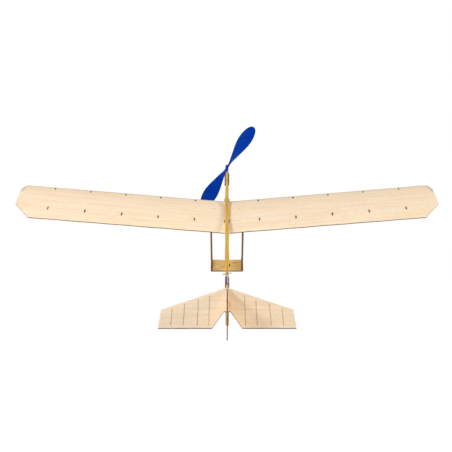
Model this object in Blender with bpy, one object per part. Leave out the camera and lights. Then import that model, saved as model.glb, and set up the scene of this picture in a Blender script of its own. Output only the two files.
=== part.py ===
"""A rubber band plane: a balsa glider with a stick fuselage, a rubber motor and a plastic propeller.

Metres, +Z up, nose towards +Y, right wing towards +X. The origin is on the ground, under the
middle of the model's length. Stations run aft from the front end of the propeller shaft, and
heights are measured from the top of the stick.
"""

import math

import bmesh
import bpy
from mathutils import Matrix, Vector

MM = 0.001
GAP = 0.3 * MM  # glue line between two pieces that are stuck together

# Overall frame
LENGTH = 279.6 * MM  # shaft's front end to the fin's trailing edge
STICK_TOP = 58.5 * MM  # height of the stick's top over the ground

# Fuselage stick
STICK_WIDTH = 3.0 * MM
STICK_HEIGHT = 5.0 * MM
STICK_FRONT = 14.5 * MM
STICK_REAR = 257.0 * MM

# Propeller and its shaft
AXIS_HEIGHT = 7.5 * MM
PROP_PITCH = 60 * MM
PROP_TURN = math.radians(28.9)  # blade angle at rest, from upright
HUB_FRONT = 1.3 * MM
HUB_LENGTH = 9.9 * MM
HUB_RADIUS = 1.8 * MM
BOSS_REAR = 16.3 * MM  # a thinner boss behind the hub keeps the blades clear of the nose
BOSS_RADIUS = 1.0 * MM
SHAFT_RADIUS = 0.4 * MM
BORE_RADIUS = 0.5 * MM
HOOK_RADIUS = 1.7 * MM
HOOK_BACK = 38.6 * MM  # station of the hook's rearmost wire
HOOK_START = 100  # degrees round the hook where its curve starts
HOOK_STEP = 28
HOOK_STEPS = 10
SHAFT_BEND = 1.5 * MM  # how far the front end is turned up
# Blade chord at each radius in millimetres, hub to tip
BLADE = ((0, 3.6), (4, 3.8), (8, 4.8), (12, 6.7), (20, 10), (30, 14.3), (38, 16.8), (44, 17.2),
         (50, 16), (55, 13.6), (59, 10), (61.4, 6.2), (62.5, 2.4))
BLADE_ROOT_THICKNESS = 2.6 * MM
BLADE_TIP_THICKNESS = 0.9 * MM
BLADE_THINNING = 0.05  # thickness lost for each unit of radius
BLADE_CAMBER = 0.06  # of the chord
FULL_CAMBER = 20 * MM  # radius from which the blade has its full camber
SECTION_POINTS = 12

# Nose
BEARING_FRONT = 17.5 * MM
BEARING_REAR = 34.2 * MM
BEARING_RADIUS = 0.9 * MM
WASHER_RADIUS = 2.0 * MM
WASHER_THICKNESS = 0.6 * MM
CHEEK_THICKNESS = 0.9 * MM
CHEEK_FRONT = 14.8 * MM
CHEEK_REAR = 32.0 * MM
CHEEK_TOP = 9.2 * MM
CHEEK_DROP = 3.5 * MM  # below the stick's top
CHEEK_SHOULDER = 2.0 * MM  # over the stick, where the front edge starts to lean back
CHEEK_RAKE = 6.5 * MM
CHEEK_TOP_SET_BACK = 2.4 * MM  # from the rear corner
CHEEK_FOOT_SET_BACK = 3.5 * MM
BLOCK_FRONT = 21.0 * MM
BLOCK_REAR = 33.0 * MM

# Wing
WING_LE = 71.0 * MM  # station of the leading edge
CHORD = 58.0 * MM
HALF_SPAN = 221.0 * MM
DIHEDRAL = 0.1  # rise over run
LE_HEIGHT = 2.6 * MM  # chord line at the root, over the stick
TE_HEIGHT = 1.2 * MM
CAMBER = 2.7 * MM
CAMBER_PEAK = 0.35
NOSE_DROOP = 0.8 * MM
DROOP_LENGTH = 0.1
SKIN = 1.0 * MM
RIB_THICKNESS = 1.0 * MM
RIB_DEPTH = 3.2 * MM  # below the chord line
FIRST_RIB = 34.6 * MM
RIB_SPACING = 38.1 * MM
RIB_COUNT = 5
FRONT_TAB = 0.105  # middle of the front tab, as a share of the chord
FRONT_TAB_LENGTH = 2.6 * MM
REAR_TAB = 0.725
INNER_REAR_TAB = 0.705  # on the saddle and the first ribs, where it lies further forward
REAR_TAB_LENGTH = 4.0 * MM
TAB_RISE = 0.5 * MM  # tabs stand this proud of the skin
TIP_LE_CUT = 8 * MM
TIP_TE_CUT = 18 * MM
TIP_BULGE = 0.6 * MM
SECTION_SHARES = (0, 0.02, 0.05, 0.09, 0.15, 0.24, 0.35, 0.5, 0.65, 0.8, 0.9, 1)
RIB_SHARES = (0.24, 0.35, 0.5, 0.65, 0.86)
RIB_FRONT = 0.004
RIB_REAR = 0.95
BESIDE_TAB = 0.045  # from a tab's middle to where the rib's edge meets the skin again

# Wing saddle, either side of the stick
SADDLE_THICKNESS = 1.0 * MM
SADDLE_OFFSET = STICK_WIDTH / 2 + GAP + SADDLE_THICKNESS / 2
POST_HEIGHT = 4.4 * MM  # posts ahead of the leading edge, over the stick
POST_LENGTH = 3.4 * MM
POST_CLEARANCE = 0.8 * MM  # from the post to the leading edge
POST_CORNER = (0.8 * MM, 1.2 * MM)
SADDLE_REAR = 0.92

# Landing gear
LEG_OFFSET = 17.0 * MM  # centre of a leg, out from the centreline
LEG_THICKNESS = 1.9 * MM
LEG_WIDTH = 5.0 * MM
FOOT_FRONT = 100.5 * MM
FOOT_REAR = 119.8 * MM
FOOT_HEIGHT = 4.5 * MM
FOOT_CORNER = 1.0 * MM
INSTEP = 3.0 * MM  # fillet between foot and leg, fore and aft
INSTEP_HEIGHT = 4.0 * MM
LEG_OVERLAP = 1.5 * MM  # the legs' tops reach this far over the stick's underside
SKID_THICKNESS = 1.5 * MM
BRIDGE_THICKNESS = 2.0 * MM
BRIDGE_LENGTH = 12.0 * MM

# Rear hook, its sleeve and the rubber motor
SLEEVE_FRONT = 197.0 * MM
SLEEVE_REAR = 207.4 * MM
SLEEVE_WALL = 0.55 * MM
SLEEVE_INNER_CORNER = 0.3 * MM
SLEEVE_OUTER_CORNER = 1.1 * MM
WIRE_RADIUS = 0.4 * MM
UPRIGHT_FOOT = 195.8 * MM
UPRIGHT_LEAN = 3.8 * MM
UPRIGHT_BEND = (1.0 * MM, 0.4 * MM)  # fore-and-aft length and rise of the bend at its foot
CROSSBAR_HEIGHT = 6.4 * MM
CROSSBAR_HALF = 4.2 * MM
CROSSBAR_SKEW = 1.1 * MM
RUBBER_REAR_HEIGHT = 4.7 * MM
RUBBER_LOOP = 1.15 * MM  # loop radius at each end, to the strand's middle
RUBBER_SPREAD = 1.15 * MM  # half the strands' spacing along the run
STRAND_END = 0.5 * MM
STRAND_MIDDLE = 0.85 * MM
STRAND_TAPER = 25 * MM
RUN_STEPS = 12
LOOP_STEPS = 6

# Tail
TAIL_SHEET = 1.0 * MM
STAB_APEX = 213.3 * MM
STAB_TIP_LE = 243.0 * MM
STAB_TE = 266.0 * MM
STAB_HALF_SPAN = 59.9 * MM
STAB_TIP_SLANT = 0.6 * MM
STAB_NOTCH = 245.4 * MM
STAB_NOTCH_HALF = 3.0 * MM
STAB_INNER_TE = 13.2 * MM
FIN_FRONT = 215.5 * MM
FIN_TOP_FRONT = 256.0 * MM
FIN_TOP = 29.0 * MM
FIN_TOP_REAR = 279.0 * MM
FIN_TOP_REAR_HEIGHT = 33.0 * MM


def clear_scene():
    for obj in list(bpy.data.objects):
        bpy.data.objects.remove(obj)


def material(name, colour, roughness, metallic=0.0):
    made = bpy.data.materials.new(name)
    made.use_nodes = True
    shader = made.node_tree.nodes["Principled BSDF"]
    shader.inputs["Base Color"].default_value = (*colour, 1)
    shader.inputs["Roughness"].default_value = roughness
    shader.inputs["Metallic"].default_value = metallic
    return made


def place(x, station, height):
    """A point of the model's frame, from its station and its height over the stick."""
    return Vector((x, LENGTH / 2 - station, STICK_TOP + height))


def add_mesh(name, mesh_data, finish, smooth=False):
    mesh = bpy.data.meshes.new(name)
    bmesh.ops.recalc_face_normals(mesh_data, faces=mesh_data.faces)
    mesh_data.to_mesh(mesh)
    mesh_data.free()
    if smooth:
        mesh.shade_smooth()
        mesh.set_sharp_from_angle(angle=math.radians(35))
    obj = bpy.data.objects.new(name, mesh)
    bpy.context.scene.collection.objects.link(obj)
    mesh.materials.append(finish)
    return obj


def prism(name, outline, offset, finish):
    """A flat-ended solid: the outline's points, and the same points moved by offset."""
    shape = bmesh.new()
    near = [shape.verts.new(point) for point in outline]
    far = [shape.verts.new(point + offset) for point in outline]
    shape.faces.new(near)
    shape.faces.new(reversed(far))
    for i in range(len(outline)):
        after = (i + 1) % len(outline)
        shape.faces.new((near[i], far[i], far[after], near[after]))
    return add_mesh(name, shape, finish)


def side_plate(name, outline, centre_x, thickness, finish):
    """A plate that stands fore and aft; its outline is (station, height) pairs."""
    points = [place(centre_x - thickness / 2, *pair) for pair in outline]
    return prism(name, points, Vector((thickness, 0, 0)), finish)


def flat_plate(name, outline, bottom, thickness, finish):
    """A level plate; its outline is (x, station) pairs, and bottom is over the stick."""
    points = [place(x, station, bottom) for x, station in outline]
    return prism(name, points, Vector((0, 0, thickness)), finish)


def block(name, half_width, front, rear, bottom, top, finish, centre_x=0.0):
    outline = ((front, bottom), (front, top), (rear, top), (rear, bottom))
    return side_plate(name, outline, centre_x, 2 * half_width, finish)


def tube(name, inner, outer, front, rear, finish, sides=20):
    """A round tube on the propeller's axis."""
    shape = bmesh.new()
    rings = []
    for radius, station in ((outer, front), (outer, rear), (inner, rear), (inner, front)):
        ring = []
        for i in range(sides):
            angle = 2 * math.pi * i / sides
            x = radius * math.cos(angle)
            ring.append(shape.verts.new(place(x, station, AXIS_HEIGHT + radius * math.sin(angle))))
        rings.append(ring)
    for i, ring in enumerate(rings):
        following = rings[(i + 1) % len(rings)]
        for j in range(sides):
            after = (j + 1) % sides
            shape.faces.new((ring[j], following[j], following[after], ring[after]))
    return add_mesh(name, shape, finish, smooth=True)


def wire(name, points, radius, finish, scales=None, closed=False, resolution=2):
    """A round wire or strand through the points; scales thins or thickens it at each one."""
    curve = bpy.data.curves.new(name, "CURVE")
    curve.dimensions = "3D"
    curve.bevel_depth = radius
    curve.bevel_resolution = resolution
    curve.use_fill_caps = not closed
    run = curve.splines.new("POLY")
    run.points.add(len(points) - 1)
    for i, point in enumerate(points):
        run.points[i].co = (*point, 1)
        run.points[i].radius = scales[i] if scales else 1
    run.use_cyclic_u = closed
    obj = bpy.data.objects.new(name, curve)
    bpy.context.scene.collection.objects.link(obj)
    curve.materials.append(finish)
    return obj


def combine(obj, other, operation):
    """Adds a Boolean with a hidden helper object."""
    other.hide_render = True
    other.display_type = "WIRE"
    change = obj.modifiers.new(operation.lower() + "_" + other.name, "BOOLEAN")
    change.operation = operation
    change.object = other
    return obj


def chord_line(share):
    return LE_HEIGHT + (TE_HEIGHT - LE_HEIGHT) * share


def skin_middle(share):
    """Height of the skin's middle at the root, at a share of the chord: camber with a drooped nose."""
    peak = CAMBER_PEAK
    if share < peak:
        rise = (2 * peak * share - share * share) / peak**2
    else:
        rise = (1 - 2 * peak + 2 * peak * share - share * share) / (1 - peak) ** 2
    droop = NOSE_DROOP * max(0.0, 1 - share / DROOP_LENGTH) ** 2
    return chord_line(share) + CAMBER * rise - droop


def wing_station(share):
    return WING_LE + CHORD * share


def planform(side):
    """The left or right half wing from above: square root, rounded front corner, cut rear corner."""
    root = 0.5 * GAP
    points = [(root, -0.02), (HALF_SPAN - TIP_LE_CUT, -0.02)]
    points += [(HALF_SPAN - 0.5 * TIP_LE_CUT, 0.02), (HALF_SPAN - 0.1 * TIP_LE_CUT, 0.12)]
    points += [(HALF_SPAN + TIP_BULGE, 0.24), (HALF_SPAN, 0.68)]
    points += [(HALF_SPAN - TIP_TE_CUT, 1.02), (root, 1.02)]
    return [(side * x, wing_station(share)) for x, share in points]


def make_skin(name, side, finish):
    """Half of the wing's sheet: its bent section run out along the dihedral, cut to its outline."""
    shares = SECTION_SHARES
    top = [(wing_station(share), skin_middle(share) + SKIN / 2) for share in shares]
    bottom = [(wing_station(share), skin_middle(share) - SKIN / 2) for share in reversed(shares)]
    section = [place(0, station, height) for station, height in top + bottom]
    reach = HALF_SPAN + 5 * MM
    skin = prism(name, section, Vector((side * reach, 0, DIHEDRAL * reach)), finish)
    outline = flat_plate(name + "_outline", planform(side), -STICK_TOP, 3 * STICK_TOP, finish)
    combine(skin, outline, "INTERSECT")
    return skin


def cut_slot(skin, side, x, half_length, station, finish):
    """A slot through the skin for a tab."""
    half_width = RIB_THICKNESS / 2 + GAP
    rise = DIHEDRAL * x
    name = f"{skin.name}_slot_{round(x / MM)}_{round(station / MM)}"
    slot = block(name, half_width, station - half_length, station + half_length,
                 rise - 6 * SKIN, rise + 12 * SKIN, finish, side * x)
    combine(skin, slot, "DIFFERENCE")


def under_skin(share, rise):
    """Height of an edge that is glued to the skin's lower face."""
    return rise + skin_middle(share) - SKIN / 2 - GAP


def rib_top(first, last, rise):
    """The rib's upper edge, just under the skin, as (station, height) pairs."""
    shares = [share for share in RIB_SHARES if first < share < last]
    return [(wing_station(share), under_skin(share, rise)) for share in (first, *shares, last)]


def tab(middle, length, rise):
    """A tab that stands up through the skin, front to rear, with the edge either side of it."""
    half = 0.5 * length / CHORD
    top = rise + skin_middle(middle) + SKIN / 2 + TAB_RISE
    front = (wing_station(middle - half), under_skin(middle - half, rise))
    rear = (wing_station(middle + half), under_skin(middle + half, rise))
    return [front, (front[0], top), (rear[0], top), rear]


def rear_tab_share(number):
    return INNER_REAR_TAB if number == 0 else REAR_TAB


def make_rib(name, side, x, rear_tab, finish):
    """A rib with a front and a rear tab through the skin."""
    rise = DIHEDRAL * x
    outline = [(wing_station(RIB_FRONT), rise + chord_line(0) - RIB_DEPTH)]
    outline += [(wing_station(RIB_FRONT), under_skin(RIB_FRONT, rise))]
    outline += tab(FRONT_TAB, FRONT_TAB_LENGTH, rise)
    outline += rib_top(FRONT_TAB + BESIDE_TAB, rear_tab - BESIDE_TAB, rise)
    outline += tab(rear_tab, REAR_TAB_LENGTH, rise)
    outline += rib_top(rear_tab + BESIDE_TAB, RIB_REAR, rise)
    outline += [(wing_station(RIB_REAR), rise + chord_line(1) - 0.45 * RIB_DEPTH)]
    outline += [(wing_station(0.75), rise + chord_line(1) - 0.9 * RIB_DEPTH)]
    return side_plate(name, outline, side * x, RIB_THICKNESS, finish)


def make_saddle(name, side, finish):
    """A side plate of the wing's saddle: it grips the stick, stops the leading edge and has a tab."""
    post = WING_LE - POST_CLEARANCE
    front = post - POST_LENGTH
    corner, drop = POST_CORNER
    rise = DIHEDRAL * SADDLE_OFFSET
    rear_tab = INNER_REAR_TAB
    outline = [(front, -STICK_HEIGHT), (front, POST_HEIGHT - drop)]
    outline += [(front + corner, POST_HEIGHT), (post, POST_HEIGHT)]
    outline += [(post, under_skin(0, 0))]
    outline += rib_top(0.02, rear_tab - BESIDE_TAB, 0)
    outline += tab(rear_tab, REAR_TAB_LENGTH, rise)
    outline += rib_top(rear_tab + BESIDE_TAB, SADDLE_REAR, 0)
    outline += [(wing_station(SADDLE_REAR), -0.3 * STICK_HEIGHT), (wing_station(0.86), -STICK_HEIGHT)]
    return side_plate(name, outline, side * SADDLE_OFFSET, SADDLE_THICKNESS, finish)


def make_wing(balsa, ply):
    for side, word in ((-1, "left"), (1, "right")):
        skin = make_skin(f"wing_skin_{word}", side, balsa)
        front_half = FRONT_TAB_LENGTH / 2 + GAP
        rear_half = REAR_TAB_LENGTH / 2 + GAP
        for number in range(RIB_COUNT):
            x = FIRST_RIB + number * RIB_SPACING
            rear_tab = rear_tab_share(number)
            make_rib(f"wing_rib_{word}_{number + 1}", side, x, rear_tab, ply)
            cut_slot(skin, side, x, front_half, wing_station(FRONT_TAB), balsa)
            cut_slot(skin, side, x, rear_half, wing_station(rear_tab), balsa)
        cut_slot(skin, side, SADDLE_OFFSET, rear_half, wing_station(INNER_REAR_TAB), balsa)
        make_saddle(f"wing_saddle_{word}", side, ply)


def make_nose(ply, aluminium, steel):
    """Two cheeks and a drilled block that hold the bearing tube over the stick, and a washer."""
    outline = ((CHEEK_FRONT, -CHEEK_DROP), (CHEEK_FRONT, CHEEK_SHOULDER),
               (CHEEK_FRONT + CHEEK_RAKE, CHEEK_TOP), (CHEEK_REAR - CHEEK_TOP_SET_BACK, CHEEK_TOP),
               (CHEEK_REAR, GAP), (CHEEK_REAR - CHEEK_FOOT_SET_BACK, -CHEEK_DROP))
    offset = STICK_WIDTH / 2 + GAP + CHEEK_THICKNESS / 2
    for side, word in ((-1, "left"), (1, "right")):
        side_plate(f"nose_cheek_{word}", outline, side * offset, CHEEK_THICKNESS, ply)
    nose = block("nose_block", STICK_WIDTH / 2, BLOCK_FRONT, BLOCK_REAR, GAP, CHEEK_TOP, ply)
    drill = cylinder("nose_block_bore_helper", BEARING_RADIUS + GAP, 2 * BLOCK_REAR, 20, ply)
    drill.location = place(0, BLOCK_REAR, AXIS_HEIGHT)
    combine(nose, drill, "DIFFERENCE")
    tube("nose_bearing", BORE_RADIUS, BEARING_RADIUS, BEARING_FRONT, BEARING_REAR, aluminium)
    washer = BEARING_FRONT - GAP - WASHER_THICKNESS
    tube("thrust_washer", BORE_RADIUS, WASHER_RADIUS, washer, washer + WASHER_THICKNESS, steel)


def blade_section(radius, chord):
    """Points round a blade's section: a thin lens, twisted to the helix that the pitch gives."""
    thickness = max(BLADE_TIP_THICKNESS, BLADE_ROOT_THICKNESS - BLADE_THINNING * abs(radius))
    pitch_angle = math.atan2(PROP_PITCH, 2 * math.pi * abs(radius))
    angle = pitch_angle if radius >= 0 else math.pi - pitch_angle
    points = []
    for i in range(SECTION_POINTS):
        turn = 2 * math.pi * i / SECTION_POINTS
        along = 0.5 * chord * math.cos(turn)
        camber = BLADE_CAMBER * chord * (1 - (2 * along / chord) ** 2) * math.copysign(1, radius)
        across = 0.5 * thickness * math.sin(turn) + camber * min(1, abs(radius) / FULL_CAMBER)
        x = along * math.cos(angle) - across * math.sin(angle)
        y = along * math.sin(angle) + across * math.cos(angle)
        points.append(Vector((x, y, radius)))
    return points


def make_propeller(plastic):
    """Two twisted blades in one piece with the hub, on an empty at the middle of the hub's axis."""
    shape = bmesh.new()
    table = [(-radius, chord) for radius, chord in reversed(BLADE[1:])] + list(BLADE)
    rings = []
    for radius, chord in table:
        section = blade_section(radius * MM, chord * MM)
        rings.append([shape.verts.new(point) for point in section])
    for ring, following in zip(rings, rings[1:]):
        for i in range(len(ring)):
            after = (i + 1) % len(ring)
            shape.faces.new((ring[i], ring[after], following[after], following[i]))
    shape.faces.new(rings[0])
    shape.faces.new(rings[-1])
    propeller = add_mesh("propeller", shape, plastic, smooth=True)
    hub = cylinder("propeller_hub_helper", HUB_RADIUS, HUB_LENGTH, 24, plastic)
    boss_length = BOSS_REAR - HUB_FRONT - HUB_LENGTH / 2
    boss = cylinder("propeller_boss_helper", BOSS_RADIUS, boss_length, 20, plastic)
    bore = cylinder("propeller_bore_helper", BORE_RADIUS, 3 * BOSS_REAR, 16, plastic)
    combine(propeller, hub, "UNION")
    combine(propeller, boss, "UNION")
    combine(propeller, bore, "DIFFERENCE")
    axis = bpy.data.objects.new("propeller_axis", None)
    bpy.context.scene.collection.objects.link(axis)
    axis.location = place(0, HUB_FRONT + HUB_LENGTH / 2, AXIS_HEIGHT)
    axis.rotation_euler = (0, PROP_TURN, 0)
    for obj in (propeller, hub, boss, bore):
        obj.parent = axis
    boss.location.y = -boss_length / 2


def cylinder(name, radius, length, sides, finish):
    """A cylinder along Y about the origin."""
    shape = bmesh.new()
    lie_down = Matrix.Rotation(math.radians(90), 4, "X")
    bmesh.ops.create_cone(shape, cap_ends=True, segments=sides, radius1=radius, radius2=radius,
                          depth=length, matrix=lie_down)
    return add_mesh(name, shape, finish, smooth=True)


def make_shaft(steel):
    """The propeller's wire: a bent end over the hub, a straight run and a round hook for the rubber."""
    front = SHAFT_RADIUS
    points = [place(0, front, AXIS_HEIGHT + SHAFT_BEND), place(0, front, AXIS_HEIGHT + front)]
    points += [place(0, 2 * front, AXIS_HEIGHT), place(0, BEARING_REAR + 1 * MM, AXIS_HEIGHT)]
    centre = HOOK_BACK - HOOK_RADIUS
    for step in range(HOOK_STEPS):
        angle = math.radians(HOOK_START - HOOK_STEP * step)
        station = centre - HOOK_RADIUS * math.cos(angle)
        points.append(place(0, station, AXIS_HEIGHT + HOOK_RADIUS * math.sin(angle)))
    wire("propeller_shaft", points, SHAFT_RADIUS, steel)


def rubber_route():
    """The rubber loop's middle line, and how thick its strands are there."""
    front = HOOK_BACK
    rear = UPRIGHT_FOOT + UPRIGHT_LEAN * (RUBBER_REAR_HEIGHT / CROSSBAR_HEIGHT)
    points = []
    scales = []

    def add(x, station):
        share = (station - front) / (rear - front)
        height = AXIS_HEIGHT + (RUBBER_REAR_HEIGHT - AXIS_HEIGHT) * share
        near_end = min(station - front, rear - station) / STRAND_TAPER
        blend = max(0.0, min(1.0, near_end))
        thick = STRAND_END + (STRAND_MIDDLE - STRAND_END) * blend * blend * (3 - 2 * blend)
        points.append(place(x, station, height))
        scales.append(thick / STRAND_MIDDLE)

    for i in range(RUN_STEPS + 1):
        add(RUBBER_SPREAD, front + (rear - front) * i / RUN_STEPS)
    for i in range(1, LOOP_STEPS):
        turn = math.pi * i / LOOP_STEPS
        add(RUBBER_LOOP * math.cos(turn), rear + RUBBER_LOOP * math.sin(turn))
    for i in range(RUN_STEPS + 1):
        add(-RUBBER_SPREAD, rear - (rear - front) * i / RUN_STEPS)
    for i in range(1, LOOP_STEPS):
        turn = math.pi * i / LOOP_STEPS
        add(-RUBBER_LOOP * math.cos(turn), front - RUBBER_LOOP * math.sin(turn))
    return points, scales


def make_rubber(rubber):
    points, scales = rubber_route()
    wire("rubber_motor", points, STRAND_MIDDLE, rubber, scales, closed=True)


def make_rear_hook(steel, sleeve_finish):
    """A wire on top of the stick, held by a sleeve, that rises to a crossbar for the rubber."""
    low = GAP + WIRE_RADIUS
    bend, bend_rise = UPRIGHT_BEND
    points = [place(0, SLEEVE_REAR + 1 * MM, low), place(0, UPRIGHT_FOOT + bend, low)]
    points += [place(0, UPRIGHT_FOOT, low + bend_rise)]
    points += [place(0, UPRIGHT_FOOT + UPRIGHT_LEAN, CROSSBAR_HEIGHT)]
    hook = curve_to_mesh(wire("rear_hook", points, WIRE_RADIUS, steel), steel)
    ends = [place(side * CROSSBAR_HALF, UPRIGHT_FOOT + UPRIGHT_LEAN - side * CROSSBAR_SKEW,
                  CROSSBAR_HEIGHT) for side in (-1, 1)]
    bar = curve_to_mesh(wire("rear_hook_crossbar_helper", ends, 1.1 * WIRE_RADIUS, steel), steel)
    combine(hook, bar, "UNION")
    make_sleeve(sleeve_finish)


def curve_to_mesh(obj, finish):
    """Replaces a curve object with a mesh object of the same name, so that a Boolean can take it."""
    name = obj.name
    graph = bpy.context.evaluated_depsgraph_get()
    mesh = bpy.data.meshes.new_from_object(obj.evaluated_get(graph))
    bpy.data.objects.remove(obj)
    made = bpy.data.objects.new(name, mesh)
    bpy.context.scene.collection.objects.link(made)
    shape = bmesh.new()
    shape.from_mesh(mesh)
    bmesh.ops.remove_doubles(shape, verts=shape.verts, dist=1e-6)
    bmesh.ops.recalc_face_normals(shape, faces=shape.faces)
    shape.to_mesh(mesh)
    shape.free()
    mesh.materials.clear()
    mesh.materials.append(finish)
    return made


def rounded_ring(half_width, bottom, top, radius):
    """A rectangle with rounded corners, as (x, height) pairs."""
    points = []
    corners = ((1, top, 0), (-1, top, 90), (-1, bottom, 180), (1, bottom, 270))
    for side, height, start in corners:
        centre_z = height - radius if height == top else height + radius
        centre_x = side * (half_width - radius)
        for step in range(4):
            angle = math.radians(start + 30 * step)
            points.append((centre_x + radius * math.cos(angle), centre_z + radius * math.sin(angle)))
    return points


def make_sleeve(finish):
    """A tube with rounded corners round the stick and the hook's wire."""
    inner_top = 2 * WIRE_RADIUS + 2 * GAP
    half = STICK_WIDTH / 2 + GAP
    bottom = -STICK_HEIGHT - GAP
    wall = SLEEVE_WALL
    inner = rounded_ring(half, bottom, inner_top, SLEEVE_INNER_CORNER)
    outer = rounded_ring(half + wall, bottom - wall, inner_top + wall, SLEEVE_OUTER_CORNER)
    shape = bmesh.new()
    rings = []
    for ring, station in ((outer, SLEEVE_FRONT), (outer, SLEEVE_REAR), (inner, SLEEVE_REAR),
                          (inner, SLEEVE_FRONT)):
        rings.append([shape.verts.new(place(x, station, height)) for x, height in ring])
    for i, ring in enumerate(rings):
        following = rings[(i + 1) % len(rings)]
        for j in range(len(ring)):
            after = (j + 1) % len(ring)
            shape.faces.new((ring[j], following[j], following[after], ring[after]))
    add_mesh("rear_sleeve", shape, finish, smooth=True)


def make_gear(ply):
    """Two legs with feet, the skid plate between the feet and the bridge under the stick."""
    ground = -STICK_TOP
    foot_middle = (FOOT_FRONT + FOOT_REAR) / 2
    strut_front = foot_middle - LEG_WIDTH / 2
    strut_rear = foot_middle + LEG_WIDTH / 2
    leg_top = -STICK_HEIGHT + LEG_OVERLAP
    ankle = ground + FOOT_HEIGHT
    shin = ankle + INSTEP_HEIGHT
    toe = [(FOOT_FRONT, ground), (FOOT_FRONT, ankle - FOOT_CORNER), (FOOT_FRONT + FOOT_CORNER, ankle)]
    heel = [(FOOT_REAR - FOOT_CORNER, ankle), (FOOT_REAR, ankle - FOOT_CORNER), (FOOT_REAR, ground)]
    front_edge = [(strut_front - INSTEP, ankle), (strut_front, shin), (strut_front, leg_top)]
    rear_edge = [(strut_rear, leg_top), (strut_rear, shin), (strut_rear + INSTEP, ankle)]
    outline = toe + front_edge + rear_edge + heel
    for side, word in ((-1, "left"), (1, "right")):
        side_plate(f"gear_leg_{word}", outline, side * LEG_OFFSET, LEG_THICKNESS, ply)
    half = LEG_OFFSET - LEG_THICKNESS / 2 - GAP
    block("gear_skid", half, FOOT_FRONT, FOOT_REAR, ground, ground + SKID_THICKNESS, ply)
    top = -STICK_HEIGHT - GAP
    block("gear_bridge", half, foot_middle - BRIDGE_LENGTH / 2, foot_middle + BRIDGE_LENGTH / 2,
          top - BRIDGE_THICKNESS, top, ply)


def make_tail(balsa):
    """The tailplane on top of the stick, and the fin that stands on both."""
    right = [(STAB_HALF_SPAN - STAB_TIP_SLANT, STAB_TIP_LE), (STAB_HALF_SPAN, STAB_TE),
             (STAB_INNER_TE, STAB_TE), (STAB_NOTCH_HALF, STAB_NOTCH)]
    left = [(-x, station) for x, station in reversed(right)]
    flat_plate("tailplane", [(0, STAB_APEX)] + right + left, GAP, TAIL_SHEET, balsa)
    on_sheet = GAP + TAIL_SHEET + GAP
    outline = [(FIN_FRONT, on_sheet), (FIN_TOP_FRONT, FIN_TOP), (FIN_TOP_REAR, FIN_TOP_REAR_HEIGHT)]
    outline += [(LENGTH, GAP), (STAB_NOTCH + GAP, GAP), (STAB_NOTCH + GAP, on_sheet)]
    side_plate("fin", outline, 0, TAIL_SHEET, balsa)


def main():
    clear_scene()
    balsa = material("balsa", (0.93, 0.74, 0.52), 0.75)
    ply = material("scorched_ply", (0.55, 0.35, 0.16), 0.7)
    stick = material("stick_wood", (0.72, 0.45, 0.22), 0.65)
    plastic = material("blue_plastic", (0.005, 0.03, 0.28), 0.35)
    rubber = material("amber_rubber", (0.65, 0.38, 0.07), 0.5)
    steel = material("steel_wire", (0.6, 0.6, 0.6), 0.3, 1.0)
    aluminium = material("aluminium_tube", (0.62, 0.62, 0.64), 0.35, 1.0)
    sleeve = material("dark_sleeve", (0.04, 0.04, 0.08), 0.35)
    block("fuselage_stick", STICK_WIDTH / 2, STICK_FRONT, STICK_REAR, -STICK_HEIGHT, 0, stick)
    make_nose(ply, aluminium, steel)
    make_propeller(plastic)
    make_shaft(steel)
    make_rubber(rubber)
    make_rear_hook(steel, sleeve)
    make_wing(balsa, ply)
    make_gear(ply)
    make_tail(balsa)


main()
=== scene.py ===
"""The finished look of a rubber band plane, built round its CAD frame.

Metres, +Z up, nose towards +Y, right wing towards +X, as in the frame. Laser-cut wooden pieces are
the CAD shapes with eased, scorched edges. The wing skins, the tailplane's engraving, the propeller,
the wires, the sleeve and the rubber are made afresh inside the space of the nodes they stand for.
"""

import math

import bmesh
import bpy
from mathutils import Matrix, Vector


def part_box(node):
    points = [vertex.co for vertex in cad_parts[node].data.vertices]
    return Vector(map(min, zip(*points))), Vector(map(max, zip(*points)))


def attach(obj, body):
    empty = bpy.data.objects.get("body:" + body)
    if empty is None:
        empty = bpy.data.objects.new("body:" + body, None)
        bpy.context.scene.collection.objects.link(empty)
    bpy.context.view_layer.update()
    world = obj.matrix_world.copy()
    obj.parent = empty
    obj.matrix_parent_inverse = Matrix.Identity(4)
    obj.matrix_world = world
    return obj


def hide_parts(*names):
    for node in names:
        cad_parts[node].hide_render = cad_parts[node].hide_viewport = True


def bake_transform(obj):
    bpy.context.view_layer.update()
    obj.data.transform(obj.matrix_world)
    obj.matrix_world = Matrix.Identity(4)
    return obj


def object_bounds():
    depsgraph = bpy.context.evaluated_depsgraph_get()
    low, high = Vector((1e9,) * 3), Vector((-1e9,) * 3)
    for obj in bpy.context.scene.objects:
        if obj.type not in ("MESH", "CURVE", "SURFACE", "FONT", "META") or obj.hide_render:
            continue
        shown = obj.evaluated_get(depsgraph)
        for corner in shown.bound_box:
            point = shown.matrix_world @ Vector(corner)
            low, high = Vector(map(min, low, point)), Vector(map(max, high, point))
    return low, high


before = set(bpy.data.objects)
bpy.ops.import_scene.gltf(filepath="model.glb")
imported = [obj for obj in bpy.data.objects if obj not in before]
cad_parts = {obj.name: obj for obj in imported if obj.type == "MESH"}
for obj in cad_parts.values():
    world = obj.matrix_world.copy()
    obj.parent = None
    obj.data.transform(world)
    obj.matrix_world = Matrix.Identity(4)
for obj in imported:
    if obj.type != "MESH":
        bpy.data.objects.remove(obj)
cad_box = [list(corner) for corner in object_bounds()]

MM = 0.001
AIRFRAME = "airframe"
PROPELLER = "propeller"

# Places read from the frame
STICK_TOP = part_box("fuselage_stick")[1].z
HALF_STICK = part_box("fuselage_stick")[1].x
NOSE_Y = cad_box[1][1]
WASHER_LOW, WASHER_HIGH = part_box("thrust_washer")
AXIS_Z = (WASHER_LOW.z + WASHER_HIGH.z) / 2

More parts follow.
